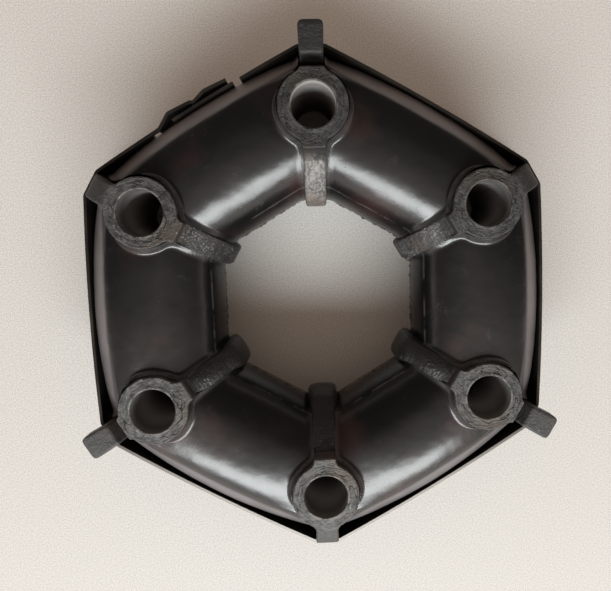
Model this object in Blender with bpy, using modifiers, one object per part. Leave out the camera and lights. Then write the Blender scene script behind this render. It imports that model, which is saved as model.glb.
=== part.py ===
"""Hexagonal rubber shaft coupling.

Six cast inserts stand on one bolt circle. Each has a bolt sleeve, a web that
reaches inwards between two rubber blocks and outwards to the strap, and a
horn that hooks over one edge of the strap. Neighbouring inserts are turned
over, so three horns stand above the strap and three below it. Six rubber
blocks are bonded between the webs, and a steel strap round the outside holds
them in compression.

Metres, +Z up. The coupling's axis is Z, and it lies on the sleeves' ends.
"""

import math

import bmesh
import bpy
from mathutils import Matrix

MM = 0.001

# Bolt circle and sleeves
INSERTS = 6
BOLT_CIRCLE = 108.0 * MM
BORE = 12.2 * MM
BORE_CHAMFER = 0.3 * MM
SLEEVE_DIAMETER = 19.2 * MM
SLEEVE_LENGTH = 42.0 * MM

# Webs of the castings
WEB_THICKNESS = 6.4 * MM
WEB_TIP_THICKNESS = 6.2 * MM
WEB_STUB = 1.7 * MM
WEB_OUTER_LENGTH = 7.1 * MM
WEB_END_ROUND = 7.6 * MM
WEB_FILLET = 2.2 * MM
WEB_CORNER = 1.1 * MM
ARM_PROUD = 1.0 * MM
ARM_TIP_PROUD = 2.5 * MM
CAST_EDGE = 0.45 * MM
PLAN_PAST = 0.06 * MM

# Horns, which keep the strap from slipping off
HORN_WIDTH = 7.0 * MM
HORN_REACH = 6.2 * MM
HORN_TOP_DROP = 2.6 * MM
HORN_TOP_LENGTH = 8.8 * MM
HORN_SLOPE_LENGTH = 2.0 * MM
HORN_SLOPE_DROP = 3.0 * MM
HORN_ROUND = 1.6 * MM
HORN_STRAP_CLEARANCE = 0.4 * MM
SADDLE_START = 0.4 * MM
SADDLE_DRAFT = 0.5 * MM
SADDLE_DROP = 9.6 * MM

# Rubber blocks
CENTRE_HOLE = 56.4 * MM
BLOCK_HEIGHT = 36.0 * MM
BLOCK_NECK = 0.7 * MM
BLOCK_PULL_IN = 0.4 * MM
BLOCK_SQUEEZE = 2.4 * MM
INNER_ROUNDNESS = 2.05
OUTER_ROUNDNESS = 2.5

# Strap and its lanced joint
STRAP_THICKNESS = 0.8 * MM
STRAP_WIDTH = 25.0 * MM
STRAP_BOW = 0.8 * MM
STRAP_BEND = 1.2 * MM
HOOKS = 2
HOOK_PITCH = 11.6 * MM
HOOK_RAMP = 4.2 * MM
HOOK_RISE = 1.2 * MM
HOOK_LIP = 0.6 * MM
HOOK_DROP = 0.7 * MM
WINDOW_LENGTH = 2.2 * MM
WINDOW_SETBACK = 0.6 * MM
WINDOW_RIM = 1.6 * MM

# Clearance between pieces that touch on the real coupling
TOUCH = 0.3 * MM

# Facets
CORNER_STEPS = 2
ARC_STEPS = 3
SLEEVE_FACETS = 32
ARM_STEPS = 7
SECTION_STEPS = 28
BLOCK_STEPS = 5
SIDE_STEPS = 8
BEND_STEPS = 2
WELD = 0.01 * MM

# Angles between faces, in degrees: an edge that turns by more is rounded, or shaded sharp
CAST_EDGE_ANGLE = 50
STRAP_BEND_ANGLE = 15
SHARP_ANGLE = 40

# Sizes that follow from those above
BOLT_RADIUS = BOLT_CIRCLE / 2
SLEEVE_RADIUS = SLEEVE_DIAMETER / 2
HALF_LENGTH = SLEEVE_LENGTH / 2
HALF_WEB = WEB_THICKNESS / 2
HALF_HORN = HORN_WIDTH / 2
HALF_PITCH = math.pi / INSERTS
WEB_END = BOLT_RADIUS + SLEEVE_RADIUS + WEB_OUTER_LENGTH
STRAP_INNER = WEB_END + TOUCH
BEND_OFFSET = HALF_HORN + TOUCH / 2
STRAP_CHORD = STRAP_INNER * math.cos(HALF_PITCH) + BEND_OFFSET * math.sin(HALF_PITCH)
STRAP_HALF_SIDE = STRAP_INNER * math.sin(HALF_PITCH) - BEND_OFFSET * math.cos(HALF_PITCH)
BLOCK_END_OFFSET = (HALF_WEB + TOUCH) / math.cos(HALF_PITCH)
HALF_JOINT = HOOKS * HOOK_PITCH / 2
HOLE_APOTHEM = CENTRE_HOLE / 2


def start_scene():
    """Empty the scene and return the collections for parts and for cutters."""
    for obj in list(bpy.data.objects):
        bpy.data.objects.remove(obj, do_unlink=True)
    made = []
    for name in ("shaft_coupling", "cutters"):
        collection = bpy.data.collections.new(name)
        bpy.context.scene.collection.children.link(collection)
        made.append(collection)
    return made


def principled(name, colour, roughness, metallic):
    material = bpy.data.materials.new(name)
    material.use_nodes = True
    shader = material.node_tree.nodes["Principled BSDF"]
    shader.inputs["Base Color"].default_value = (*colour, 1.0)
    shader.inputs["Roughness"].default_value = roughness
    shader.inputs["Metallic"].default_value = metallic
    return material


def add_object(name, mesh, collection, material=None):
    obj = bpy.data.objects.new(name, mesh)
    collection.objects.link(obj)
    if material:
        mesh.materials.append(material)
    return obj


def as_cutter(obj):
    obj.hide_render = True
    obj.display_type = "WIRE"
    return obj


def arc(centre, radius, start, end, steps):
    """Points on an arc, ends included. Angles are in degrees."""
    points = []
    for i in range(steps + 1):
        angle = math.radians(start + (end - start) * i / steps)
        points.append((centre[0] + radius * math.cos(angle), centre[1] + radius * math.sin(angle)))
    return points


def extruded_outline(name, outline, half_depth, collection):
    """A flat outline made solid by a 2D curve, as a mesh with its caps welded on."""
    curve = bpy.data.curves.new(name, "CURVE")
    curve.dimensions = "2D"
    curve.fill_mode = "BOTH"
    curve.extrude = half_depth
    spline = curve.splines.new("POLY")
    spline.points.add(len(outline) - 1)
    for point, (x, y) in zip(spline.points, outline):
        point.co = (x, y, 0.0, 1.0)
    spline.use_cyclic_u = True
    drawn = bpy.data.objects.new(name + "_outline", curve)
    collection.objects.link(drawn)
    bpy.context.view_layer.update()
    evaluated = drawn.evaluated_get(bpy.context.evaluated_depsgraph_get())
    mesh = bpy.data.meshes.new_from_object(evaluated)
    solid = add_object(name, mesh, collection)
    solid.matrix_world = drawn.matrix_world.copy()
    bpy.data.objects.remove(drawn, do_unlink=True)
    shape = bmesh.new()
    shape.from_mesh(mesh)
    bmesh.ops.remove_doubles(shape, verts=shape.verts, dist=WELD)
    bmesh.ops.recalc_face_normals(shape, faces=shape.faces)
    shape.to_mesh(mesh)
    shape.free()
    return solid


def turned(name, profile, facets, collection):
    """A profile of (radius, z), from top to bottom, turned about Z with a Screw modifier."""
    mesh = bpy.data.meshes.new(name)
    edges = [(i, i + 1) for i in range(len(profile) - 1)]
    mesh.from_pydata([(r, 0.0, z) for r, z in profile], edges, [])
    solid = add_object(name, mesh, collection)
    screw = solid.modifiers.new("turn", "SCREW")
    screw.steps = facets
    screw.render_steps = facets
    screw.use_merge_vertices = True
    screw.merge_threshold = WELD
    return solid


def boolean(obj, operation, other):
    modifier = obj.modifiers.new(operation.lower() + "_" + other.name, "BOOLEAN")
    modifier.operation = operation
    modifier.solver = "EXACT"
    modifier.object = other
    return modifier


def superellipse(roundness, share):
    """One unit coordinate of a superellipse from a sine or cosine."""
    return math.copysign(abs(share) ** (2 / roundness), share)


def strap_bow(along):
    """How far a strap side stands out from its chord, at this distance from its middle."""
    return STRAP_BOW * (1 - min(1.0, (along / STRAP_HALF_SIDE) ** 2))


def squeezed_depth(share):
    """How far from the axis the strap lets a rubber block reach, share 0 at mid side to 1 at a web."""
    return STRAP_CHORD - TOUCH + strap_bow(share * STRAP_HALF_SIDE)


def block_depths(share):
    """Inner and outer distance of a rubber block from the axis, if the strap didn't squeeze it."""
    free = BLOCK_SQUEEZE * (1 - share**2) - BLOCK_PULL_IN * share**2
    return HOLE_APOTHEM, squeezed_depth(share) + free


def casting_plan(clearance=0.0):
    """The casting from above: bolt sleeve, web and horn, filleted where they meet.

    The bolt's axis is at the origin and +X points away from the coupling's axis.
    A clearance moves every wall out, for what is cut to fit round the casting.
    """
    tip = arm_tip() - PLAN_PAST - clearance
    horn_end = WEB_END - BOLT_RADIUS + HORN_REACH + PLAN_PAST + clearance
    half_tip = WEB_TIP_THICKNESS / 2 + clearance
    corner = min(WEB_CORNER, WEB_TIP_THICKNESS / 2)
    sleeve = SLEEVE_RADIUS + clearance
    fillet = WEB_FILLET - clearance
    fillet_y = HALF_WEB + WEB_FILLET
    fillet_x = math.sqrt((SLEEVE_RADIUS + WEB_FILLET) ** 2 - fillet_y**2)
    touch = math.degrees(math.atan2(fillet_y, fillet_x))
    upper = arc((tip + corner, half_tip - corner), corner, 180, 90, CORNER_STEPS)
    upper += arc((-fillet_x, fillet_y), fillet, -90, -touch, ARC_STEPS)
    upper += arc((0, 0), sleeve, 180 - touch, touch, SLEEVE_FACETS // 2 - CORNER_STEPS)[1:-1]
    upper += arc((fillet_x, fillet_y), fillet, touch - 180, -90, ARC_STEPS)
    upper += arc((horn_end - corner, HALF_HORN + clearance - corner), corner, 90, 0, CORNER_STEPS)
    lower = [(x, -y) for x, y in reversed(upper)]
    return upper + lower


def arm_tip():
    """Where the web's inner tip ends, measured from the bolt's axis."""
    rubber_corner = HOLE_APOTHEM / math.cos(HALF_PITCH) - HALF_WEB * math.tan(HALF_PITCH)
    return rubber_corner - ARM_TIP_PROUD - BOLT_RADIUS


def arm_curve(stub_end):
    """The web's inner edge, which follows the rubber's rounded section and stands proud of it."""
    inner, outer = block_depths(1)
    middle = (inner + outer) / 2 / math.cos(HALF_PITCH) - BOLT_RADIUS
    half_width = middle - arm_tip()
    half_height = BLOCK_HEIGHT / 2 - BLOCK_NECK + ARM_PROUD
    share = (middle - stub_end) / half_width
    last = math.acos(min(1.0, share ** (INNER_ROUNDNESS / 2)))
    points = []
    for i in range(-ARM_STEPS, ARM_STEPS + 1):
        angle = last * i / ARM_STEPS
        x = middle - half_width * superellipse(INNER_ROUNDNESS, math.cos(angle))
        z = half_height * superellipse(INNER_ROUNDNESS, math.sin(angle))
        points.append((x, z))
    return points


def past_shoulder(point):
    """How far a point of the side lies past the sleeve's drafted shoulder."""
    x, z = point
    return x - SLEEVE_RADIUS - SADDLE_START - SADDLE_DRAFT * (HALF_LENGTH - z) / SADDLE_DROP


def saddle_and_horn(horn_end, strap_edge):
    """The side's upper edge from the foot of the sleeve's shoulder, over the saddle, to the horn's end.

    Where the horn leaves no room for the saddle, it runs into the shoulder higher up.
    """
    horn_top = HALF_LENGTH - HORN_TOP_DROP
    horn_start = horn_end - HORN_TOP_LENGTH
    slope_end = horn_start - HORN_SLOPE_LENGTH
    saddle = HALF_LENGTH - SADDLE_DROP
    horn_round = min(HORN_ROUND, horn_top - strap_edge)
    edge = [(slope_end - SADDLE_DRAFT, saddle)]
    edge += [(slope_end, horn_top - HORN_SLOPE_DROP), (horn_start, horn_top)]
    edge += arc((horn_end - horn_round, horn_top - horn_round), horn_round, 90, 0, ARC_STEPS)
    if past_shoulder(edge[0]) > 0:
        return [(SLEEVE_RADIUS + SADDLE_START + SADDLE_DRAFT, saddle)] + edge
    first = next(i for i, point in enumerate(edge) if past_shoulder(point) > 0)
    before, after = past_shoulder(edge[first - 1]), past_shoulder(edge[first])
    share = before / (before - after)
    meeting = tuple(a + (b - a) * share for a, b in zip(edge[first - 1], edge[first]))
    return [meeting] + edge[first:]


def casting_side():
    """The casting from the side, x away from the coupling's axis and z along the bolt, horn up."""
    stub = SLEEVE_RADIUS + WEB_STUB
    end = WEB_END - BOLT_RADIUS
    horn_end = end + HORN_REACH
    strap_edge = STRAP_WIDTH / 2 + HORN_STRAP_CLEARANCE
    end_round = min(WEB_END_ROUND, HALF_LENGTH - STRAP_WIDTH / 2)
    outline = arm_curve(-stub)
    outline += [(-stub, HALF_LENGTH), (SLEEVE_RADIUS + SADDLE_START, HALF_LENGTH)]
    outline += saddle_and_horn(horn_end, strap_edge)
    outline += [(horn_end, strap_edge), (end, strap_edge)]
    outline += arc((end - end_round, end_round - HALF_LENGTH), end_round, 0, -90, ARC_STEPS)
    outline += [(-stub, -HALF_LENGTH)]
    return outline


def make_casting_mesh(cutters):
    """One casting with its horn up, centred on its bolt axis: plan and side outlines meet in it."""
    plan = extruded_outline("casting_plan", casting_plan(), SLEEVE_LENGTH, cutters)
    side = extruded_outline("casting_side", casting_side(), SLEEVE_DIAMETER, cutters)
    side.matrix_world = Matrix.Rotation(math.pi / 2, 4, "X")
    mouth = BORE / 2 + BORE_CHAMFER
    past = HALF_LENGTH + BORE_CHAMFER
    profile = [(0, past), (mouth + BORE_CHAMFER, past), (BORE / 2, HALF_LENGTH - BORE_CHAMFER)]
    profile += [(r, -z) for r, z in reversed(profile)]
    bore = turned("bore_cutter", profile, SLEEVE_FACETS, cutters)
    boolean(side, "INTERSECT", plan)
    edges = side.modifiers.new("cast_edges", "BEVEL")
    edges.width = CAST_EDGE
    edges.segments = 1
    edges.limit_method = "ANGLE"
    edges.angle_limit = math.radians(CAST_EDGE_ANGLE)
    boolean(side, "DIFFERENCE", bore)
    bpy.context.view_layer.update()
    evaluated = side.evaluated_get(bpy.context.evaluated_depsgraph_get())
    mesh = bpy.data.meshes.new_from_object(evaluated)
    mesh.transform(side.matrix_world)
    mesh.name = "cast_insert"
    mesh.shade_smooth()
    mesh.set_sharp_from_angle(angle=math.radians(SHARP_ANGLE))
    for helper in (plan, side, bore):
        bpy.data.objects.remove(helper, do_unlink=True)
    return mesh


def insert_angle(index):
    """The direction of an insert from the axis. The first is at +Y, and they go clockwise."""
    return math.pi / 2 - 2 * HALF_PITCH * index


def make_inserts(mesh, collection, material):
    """The castings on their bolt circle, every other one turned over."""
    mesh.materials.append(material)
    for index in range(INSERTS):
        insert = bpy.data.objects.new(f"cast_insert_{index + 1}", mesh)
        collection.objects.link(insert)
        place = Matrix.Translation((0, 0, HALF_LENGTH))
        place @= Matrix.Rotation(insert_angle(index), 4, "Z")
        place @= Matrix.Translation((BOLT_RADIUS, 0, 0))
        if index % 2:
            place @= Matrix.Rotation(math.pi, 4, "X")
        insert.matrix_world = place


def block_section(share):
    """A rubber block's section at this share of the way from mid side to a web: depth and height."""
    inner, outer = block_depths(abs(share))
    middle = (inner + outer) / 2
    half_depth = (outer - inner) / 2
    half_height = BLOCK_HEIGHT / 2 - BLOCK_NECK * share**2
    points = []
    for i in range(SECTION_STEPS):
        angle = 2 * math.pi * (i + 0.5) / SECTION_STEPS
        roundness = OUTER_ROUNDNESS if math.cos(angle) > 0 else INNER_ROUNDNESS
        depth = min(middle + half_depth * superellipse(roundness, math.cos(angle)), squeezed_depth(share))
        height = half_height * superellipse(roundness, math.sin(angle))
        points.append((depth, height))
    return points


def block_loft():
    """A rubber block along Y, lofted from the middle of one web to the middle of the next."""
    shape = bmesh.new()
    stations = [(step / BLOCK_STEPS - 1, BLOCK_END_OFFSET) for step in range(2 * BLOCK_STEPS + 1)]
    rings = []
    for share, end_offset in [(-1, 0.0), *stations, (1, 0.0)]:
        ring = []
        for depth, height in block_section(share):
            along = share * (depth * math.tan(HALF_PITCH) - end_offset)
            ring.append(shape.verts.new((depth, along, height)))
        rings.append(ring)
    for ring, following in zip(rings, rings[1:]):
        for i in range(SECTION_STEPS):
            j = (i + 1) % SECTION_STEPS
            shape.faces.new((ring[i], ring[j], following[j], following[i]))
    shape.faces.new(rings[0])
    shape.faces.new(rings[-1])
    bmesh.ops.recalc_face_normals(shape, faces=shape.faces)
    mesh = bpy.data.meshes.new("block_loft")
    shape.to_mesh(mesh)
    shape.free()
    return mesh


def make_block_mesh(cutters):
    """A rubber block with both ends cut to the plan of the castings that it is bonded to."""
    block = add_object("block_loft", block_loft(), cutters)
    seats = []
    for name, turn in (("seat_before", -HALF_PITCH), ("seat_after", HALF_PITCH)):
        seat = extruded_outline(name, casting_plan(TOUCH), SLEEVE_LENGTH, cutters)
        seat.matrix_world = Matrix.Rotation(turn, 4, "Z") @ Matrix.Translation((BOLT_RADIUS, 0, 0))
        boolean(block, "DIFFERENCE", seat)
        seats.append(seat)
    bpy.context.view_layer.update()
    evaluated = block.evaluated_get(bpy.context.evaluated_depsgraph_get())
    cut = bpy.data.meshes.new_from_object(evaluated)
    cut.name = "rubber_block"
    cut.shade_smooth()
    cut.set_sharp_from_angle(angle=math.radians(SHARP_ANGLE))
    for helper in (block, *seats):
        bpy.data.objects.remove(helper, do_unlink=True)
    return cut


def make_blocks(mesh, collection, material):
    """The rubber blocks, one between each two inserts."""
    mesh.materials.append(material)
    for index in range(INSERTS):
        block = bpy.data.objects.new(f"rubber_block_{index + 1}", mesh)
        collection.objects.link(block)
        turn = Matrix.Rotation(insert_angle(index) - HALF_PITCH, 4, "Z")
        block.matrix_world = Matrix.Translation((0, 0, HALF_LENGTH)) @ turn


def side_point(side, along, out):
    """A point of the strap's inner face on one side, from its middle, and moved outwards."""
    angle = insert_angle(side) - HALF_PITCH
    depth = STRAP_CHORD + strap_bow(along) + out
    x = depth * math.cos(angle) + along * math.sin(angle)
    y = depth * math.sin(angle) - along * math.cos(angle)
    return x, y


def hook_points():
    """The strap's outer end over the joint: distance past its start, height off the inner end."""
    rest = STRAP_THICKNESS + TOUCH
    points = []
    for hook in range(HOOKS):
        start = hook * HOOK_PITCH
        points.append((start, rest if hook else 0.0))
        points.append((start + HOOK_RAMP, rest + HOOK_RISE))
        points.append((start + HOOK_PITCH - HOOK_DROP, rest + HOOK_LIP))
    return points


def strap_path():
    """The strap's inner face from above, from its inner end clockwise round to its outer end."""
    last = INSERTS - 1
    joint = -HALF_JOINT
    inner_end = joint + HOOK_RAMP
    path = []
    for i in range(SIDE_STEPS // 2 + 1):
        along = inner_end + (STRAP_HALF_SIDE - inner_end) * 2 * i / SIDE_STEPS
        path.append(side_point(last, along, 0.0))
    for side in range(last):
        for i in range(SIDE_STEPS + 1):
            path.append(side_point(side, STRAP_HALF_SIDE * (2 * i / SIDE_STEPS - 1), 0.0))
    for i in range(SIDE_STEPS // 2):
        along = -STRAP_HALF_SIDE + (STRAP_HALF_SIDE + joint) * 2 * i / SIDE_STEPS
        path.append(side_point(last, along, 0.0))
    for along, out in hook_points():
        path.append(side_point(last, joint + along, out))
    return path


def window_cutter(name, along, lift, cutters):
    """A slot through the strap beside the joint, lifted or not to cut through its upper rim."""
    shape = bmesh.new()
    through = 2 * (STRAP_THICKNESS + STRAP_BOW)
    size = Matrix.Diagonal((through, WINDOW_LENGTH, STRAP_WIDTH - 2 * WINDOW_RIM, 1.0))
    bmesh.ops.create_cube(shape, size=1.0, matrix=size)
    mesh = bpy.data.meshes.new(name)
    shape.to_mesh(mesh)
    shape.free()
    window = add_object(name, mesh, cutters)
    x, y = side_point(INSERTS - 1, along, STRAP_THICKNESS / 2)
    turn = insert_angle(INSERTS - 1) - HALF_PITCH
    window.matrix_world = Matrix.Translation((x, y, HALF_LENGTH + lift)) @ Matrix.Rotation(turn, 4, "Z")
    return as_cutter(window)


def make_strap(collection, cutters, material):
    """The steel strap, a bent strip whose outer end is hooked over its inner end."""
    shape = bmesh.new()
    lower = [shape.verts.new((x, y, HALF_LENGTH - STRAP_WIDTH / 2)) for x, y in strap_path()]
    edges = [shape.edges.new(pair) for pair in zip(lower, lower[1:])]
    lifted = bmesh.ops.extrude_edge_only(shape, edges=edges)["geom"]
    upper = [item for item in lifted if isinstance(item, bmesh.types.BMVert)]
    bmesh.ops.translate(shape, verts=upper, vec=(0, 0, STRAP_WIDTH))
    shape.normal_update()
    facing_in = [face for face in shape.faces if face.normal.dot(face.calc_center_median()) < 0]
    bmesh.ops.reverse_faces(shape, faces=facing_in)
    mesh = bpy.data.meshes.new("retaining_strap")
    shape.to_mesh(mesh)
    shape.free()
    strap = add_object("retaining_strap", mesh, collection, material)
    bends = strap.modifiers.new("bends", "BEVEL")
    bends.width = STRAP_BEND * math.tan(HALF_PITCH / 2)
    bends.segments = BEND_STEPS
    bends.limit_method = "ANGLE"
    bends.angle_limit = math.radians(STRAP_BEND_ANGLE)
    sheet = strap.modifiers.new("sheet", "SOLIDIFY")
    sheet.thickness = STRAP_THICKNESS
    sheet.offset = 1.0
    sheet.use_even_offset = True
    window = HALF_JOINT + WINDOW_SETBACK + WINDOW_LENGTH / 2
    boolean(strap, "DIFFERENCE", window_cutter("window_before", -window, 0.0, cutters))
    boolean(strap, "DIFFERENCE", window_cutter("window_after", window, 2 * WINDOW_RIM, cutters))
    return strap


def main():
    parts, cutters = start_scene()
    cast = principled("cast_iron", (0.09, 0.09, 0.095), 0.5, 0.6)
    rubber = principled("black_rubber", (0.012, 0.012, 0.013), 0.28, 0.0)
    steel = principled("strap_steel", (0.05, 0.042, 0.036), 0.4, 0.9)
    make_inserts(make_casting_mesh(cutters), parts, cast)
    make_blocks(make_block_mesh(cutters), parts, rubber)
    make_strap(parts, cutters, steel)


main()
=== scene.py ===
# %% [markdown]
# # A hexagonal rubber shaft coupling
# Six cast inserts stand on one bolt circle, with a rubber block bonded between each two of them.
# A steel strap squeezes the ring from outside. One shaft bolts to every other insert, and the
# other shaft to the rest, so the rubber carries the drive and lets the shafts sit a little askew.
# The frame gives each piece its place and size. This script gives it its real surface.

# %% Load the frame
import math
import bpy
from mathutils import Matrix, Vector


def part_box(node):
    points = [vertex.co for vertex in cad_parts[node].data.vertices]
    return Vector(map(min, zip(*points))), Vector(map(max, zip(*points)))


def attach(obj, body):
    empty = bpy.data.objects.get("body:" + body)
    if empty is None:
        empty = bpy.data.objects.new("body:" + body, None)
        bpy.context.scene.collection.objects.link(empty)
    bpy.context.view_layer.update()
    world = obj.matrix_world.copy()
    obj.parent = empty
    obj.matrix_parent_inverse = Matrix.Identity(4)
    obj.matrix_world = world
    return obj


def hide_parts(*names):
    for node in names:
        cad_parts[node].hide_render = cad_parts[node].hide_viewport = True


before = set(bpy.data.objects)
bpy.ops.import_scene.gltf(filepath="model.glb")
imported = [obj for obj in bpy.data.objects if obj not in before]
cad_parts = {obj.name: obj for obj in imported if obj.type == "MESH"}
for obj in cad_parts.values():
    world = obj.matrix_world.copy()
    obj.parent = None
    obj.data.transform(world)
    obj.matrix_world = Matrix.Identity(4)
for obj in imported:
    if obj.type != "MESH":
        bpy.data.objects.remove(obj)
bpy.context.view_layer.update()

from types import SimpleNamespace

import bmesh
import bpy
from mathutils import Matrix, Vector

print("solids in the frame:", len(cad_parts))

# %% [markdown]
# ## Sizes
# The frame is in metres. The sizes below are the design's own, in millimetres, and each is
# written once. What can be measured on the frame is measured there, such as the sleeve's length.
#
# A casting has a sleeve for the bolt and two webs, which are flat ribs. The inner web runs along
# the rubber as an arm with a tip. The outer web reaches the strap and carries a horn over its edge.
# A stub is the short length of web that is as high as the sleeve, and the saddle is the hollow
# between the sleeve and the horn. An apothem runs from the axis to the middle of a flat side.

# %% Sizes of the castings
MM = 0.001
INSERTS = 6
HALF_PITCH = math.pi / INSERTS
HALF_LENGTH = (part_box("cast_insert_1")[1].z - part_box("cast_insert_1")[0].z) / 2
BOLT_RADIUS = 54.0 * MM
BORE_RADIUS = 6.1 * MM
BORE_CHAMFER = 0.3 * MM
SLEEVE_RADIUS = 9.6 * MM
HALF_WEB = 3.2 * MM
HALF_WEB_TIP = 3.1 * MM
WEB_STUB = 1.7 * MM
WEB_FILLET = 2.2 * MM
WEB_CORNER = 1.1 * MM
HORN_CORNER = 1.8 * MM
WEB_END = 70.7 * MM
WEB_END_ROUND = 7.6 * MM
ARM_PROUD = 1.0 * MM
ARM_TIP_PROUD = 2.5 * MM
HALF_HORN = 3.5 * MM
HORN_REACH = 6.2 * MM
HORN_TOP_DROP = 2.6 * MM
HORN_TOP_LENGTH = 8.8 * MM
HORN_SLOPE_LENGTH = 2.0 * MM
HORN_SLOPE_DROP = 3.0 * MM
HORN_ROUND = 1.6 * MM
HORN_STRAP_CLEARANCE = 0.4 * MM
SADDLE_START = 0.4 * MM
SADDLE_DRAFT = 0.5 * MM
SADDLE_DROP = 9.6 * MM
CAST_EDGE = 0.55 * MM
STUB_END = BOLT_RADIUS - SLEEVE_RADIUS - WEB_STUB
print("sleeve length, mm:", round(2 * HALF_LENGTH / MM, 1))

# %% Sizes of the rubber and the strap
TOUCH = 0.3 * MM
BOND = 0.05 * MM
HOLE_APOTHEM = 28.2 * MM
BLOCK_HALF_HEIGHT = 18.0 * MM
BLOCK_NECK = 0.7 * MM
BLOCK_PULL_IN = 0.4 * MM
INNER_ROUNDNESS = 2.05
OUTER_ROUNDNESS = 2.5
BLOCK_SQUEEZE = 2.4 * MM
STRAP_WIDTH = 25.0 * MM
STRAP_BOW = 0.8 * MM
STRAP_INNER = WEB_END + TOUCH
BEND_OFFSET = HALF_HORN + TOUCH / 2
STRAP_CHORD = STRAP_INNER * math.cos(HALF_PITCH) + BEND_OFFSET * math.sin(HALF_PITCH)
BLOCK_OUTER = STRAP_CHORD - TOUCH + STRAP_BOW + BLOCK_SQUEEZE
BLOCK_OUTER_END = STRAP_CHORD - TOUCH - BLOCK_PULL_IN
print("strap across its flats, mm:", round(2 * STRAP_CHORD / MM, 1))

# %% [markdown]
# ## The camera
# The picture looks almost straight down from about 20 cm, so the near ends of the sleeves spread
# outwards from the far ones. The small shift keeps the coupling where the picture has it.

# %% The camera
CAMERA_PLACE = Vector((-0.44, 21.32, 203.74)) * MM
CAMERA_TURN = [math.radians(turn) for turn in (-6.306, -2.808, -1.663)]
LENS_MM = 35.23
SENSOR_MM = 36.0
SIDE_SHIFT = -0.0647
NEAREST_SEEN = 10 * MM

camera_data = bpy.data.cameras.new("camera")
camera_data.lens = LENS_MM
camera_data.sensor_width = SENSOR_MM
camera_data.shift_x = SIDE_SHIFT
camera_data.clip_start = NEAREST_SEEN
camera = bpy.data.objects.new("camera", camera_data)
camera.location = CAMERA_PLACE
camera.rotation_euler = CAMERA_TURN
bpy.context.scene.collection.objects.link(camera)
bpy.context.scene.camera = camera
print("camera height, mm:", round(camera.location.z / MM))

# %% [markdown]
# ## Node trees as expressions
# A long formula is hard to read as a chain of Math nodes. `Wire` wraps a socket, so that an
# expression such as `1 - mask * 0.5` adds its nodes by itself. `Graph.node` makes any other node:
# it sets the node up first, then fills or links its sockets. Materials and shapes both use them.

# %% Wires
class Wire:
    """A node's output that takes part in arithmetic."""

    def __init__(self, graph, socket):
        self.graph = graph
        self.socket = socket

    def __add__(self, other):
        return self.graph.maths("ADD", self, other)

    def __radd__(self, other):
        return self.graph.maths("ADD", other, self)

    def __sub__(self, other):
        return self.graph.maths("SUBTRACT", self, other)

    def __rsub__(self, other):
        return self.graph.maths("SUBTRACT", other, self)

    def __mul__(self, other):
        return self.graph.maths("MULTIPLY", self, other)

    def __rmul__(self, other):
        return self.graph.maths("MULTIPLY", other, self)

    def __truediv__(self, other):
        return self.graph.maths("DIVIDE", self, other)

    def __rtruediv__(self, other):
        return self.graph.maths("DIVIDE", other, self)

    def __pow__(self, other):
        return self.graph.maths("POWER", self, other)


def hypotenuse(one, other):
    """How far a point is that lies this far one way and that far square to it."""
    return (one * one + other * other) ** 0.5


print("a point 3 along and 4 beside is", hypotenuse(3, 4), "away")

# %% Graphs
class Graph:
    """The node tree of a material or of a shape."""

    def __init__(self, tree):
        self.tree = tree
        tree.nodes.clear()

    def node(self, kind, settings=None, inputs=None, output=0):
        """Add a node, set it up, fill or link its sockets, and return one of its outputs."""
        made = self.tree.nodes.new(kind)
        for name, value in (settings or {}).items():
            setattr(made, name, value)
        for key, value in (inputs or {}).items():
            if isinstance(value, Wire):
                self.tree.links.new(value.socket, made.inputs[key])
            else:
                made.inputs[key].default_value = value
        return Wire(self, made.outputs[output]) if made.outputs else None

    def other(self, wire, output):
        """Another output of the node that a wire comes from."""
        return Wire(self, wire.socket.node.outputs[output])

    def split(self, vector):
        """The x, y and z of a vector."""
        x = self.node("ShaderNodeSeparateXYZ", None, {0: vector})
        return x, self.other(x, 1), self.other(x, 2)

    def join(self, x=0.0, y=0.0, z=0.0):
        """A vector from its x, y and z."""
        return self.node("ShaderNodeCombineXYZ", None, {0: x, 1: y, 2: z})

    def scaled(self, vector, factor):
        """A vector or a colour times a number."""
        inputs = {0: vector, "Scale": factor}
        return self.node("ShaderNodeVectorMath", {"operation": "SCALE"}, inputs)

    def maths(self, operation, *values):
        return self.node("ShaderNodeMath", {"operation": operation}, dict(enumerate(values)))

    def signed_power(self, value, power):
        """The power of a value's size, with the value's own sign."""
        size = self.maths("POWER", self.maths("ABSOLUTE", value), power)
        return self.maths("SIGN", value) * size

    def fade(self, value, start, end):
        """0 where the value is below start, 1 above end, and smooth between."""
        inputs = {0: value, 1: start, 2: end}
        return self.node("ShaderNodeMapRange", {"interpolation_type": "SMOOTHSTEP"}, inputs)

    def band(self, value, centre, half_width):
        """1 where the value is at the centre, falling to 0 at half the width away."""
        return 1 - self.fade(self.maths("ABSOLUTE", value - centre), 0.0, half_width)

    def noise(self, vector, scale, detail=2.0, roughness=0.5):
        inputs = {"Vector": vector, "Scale": scale, "Detail": detail, "Roughness": roughness}
        return self.node("ShaderNodeTexNoise", None, inputs)

    def stored(self, name):
        """A value that was stored on the mesh under this name."""
        return self.node("ShaderNodeAttribute", {"attribute_name": name}, output="Fac")


print("a graph offers:", [name for name in vars(Graph) if not name.startswith("_")])

# %% [markdown]
# ## Materials
# Each finish is mixed from a few masks that read the piece's own coordinates. The six castings are
# alike, so one fold of the plane brings them onto each other: the angle round the axis is taken
# modulo 60 degrees, and what is left says how far a point is along a web and how far beside it.

# %% Start and finish a material
def new_material(name):
    material = bpy.data.materials.new(name)
    material.use_nodes = True
    graph = Graph(material.node_tree)
    place = graph.node("ShaderNodeTexCoord", output="Object")
    return material, graph, place


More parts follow.
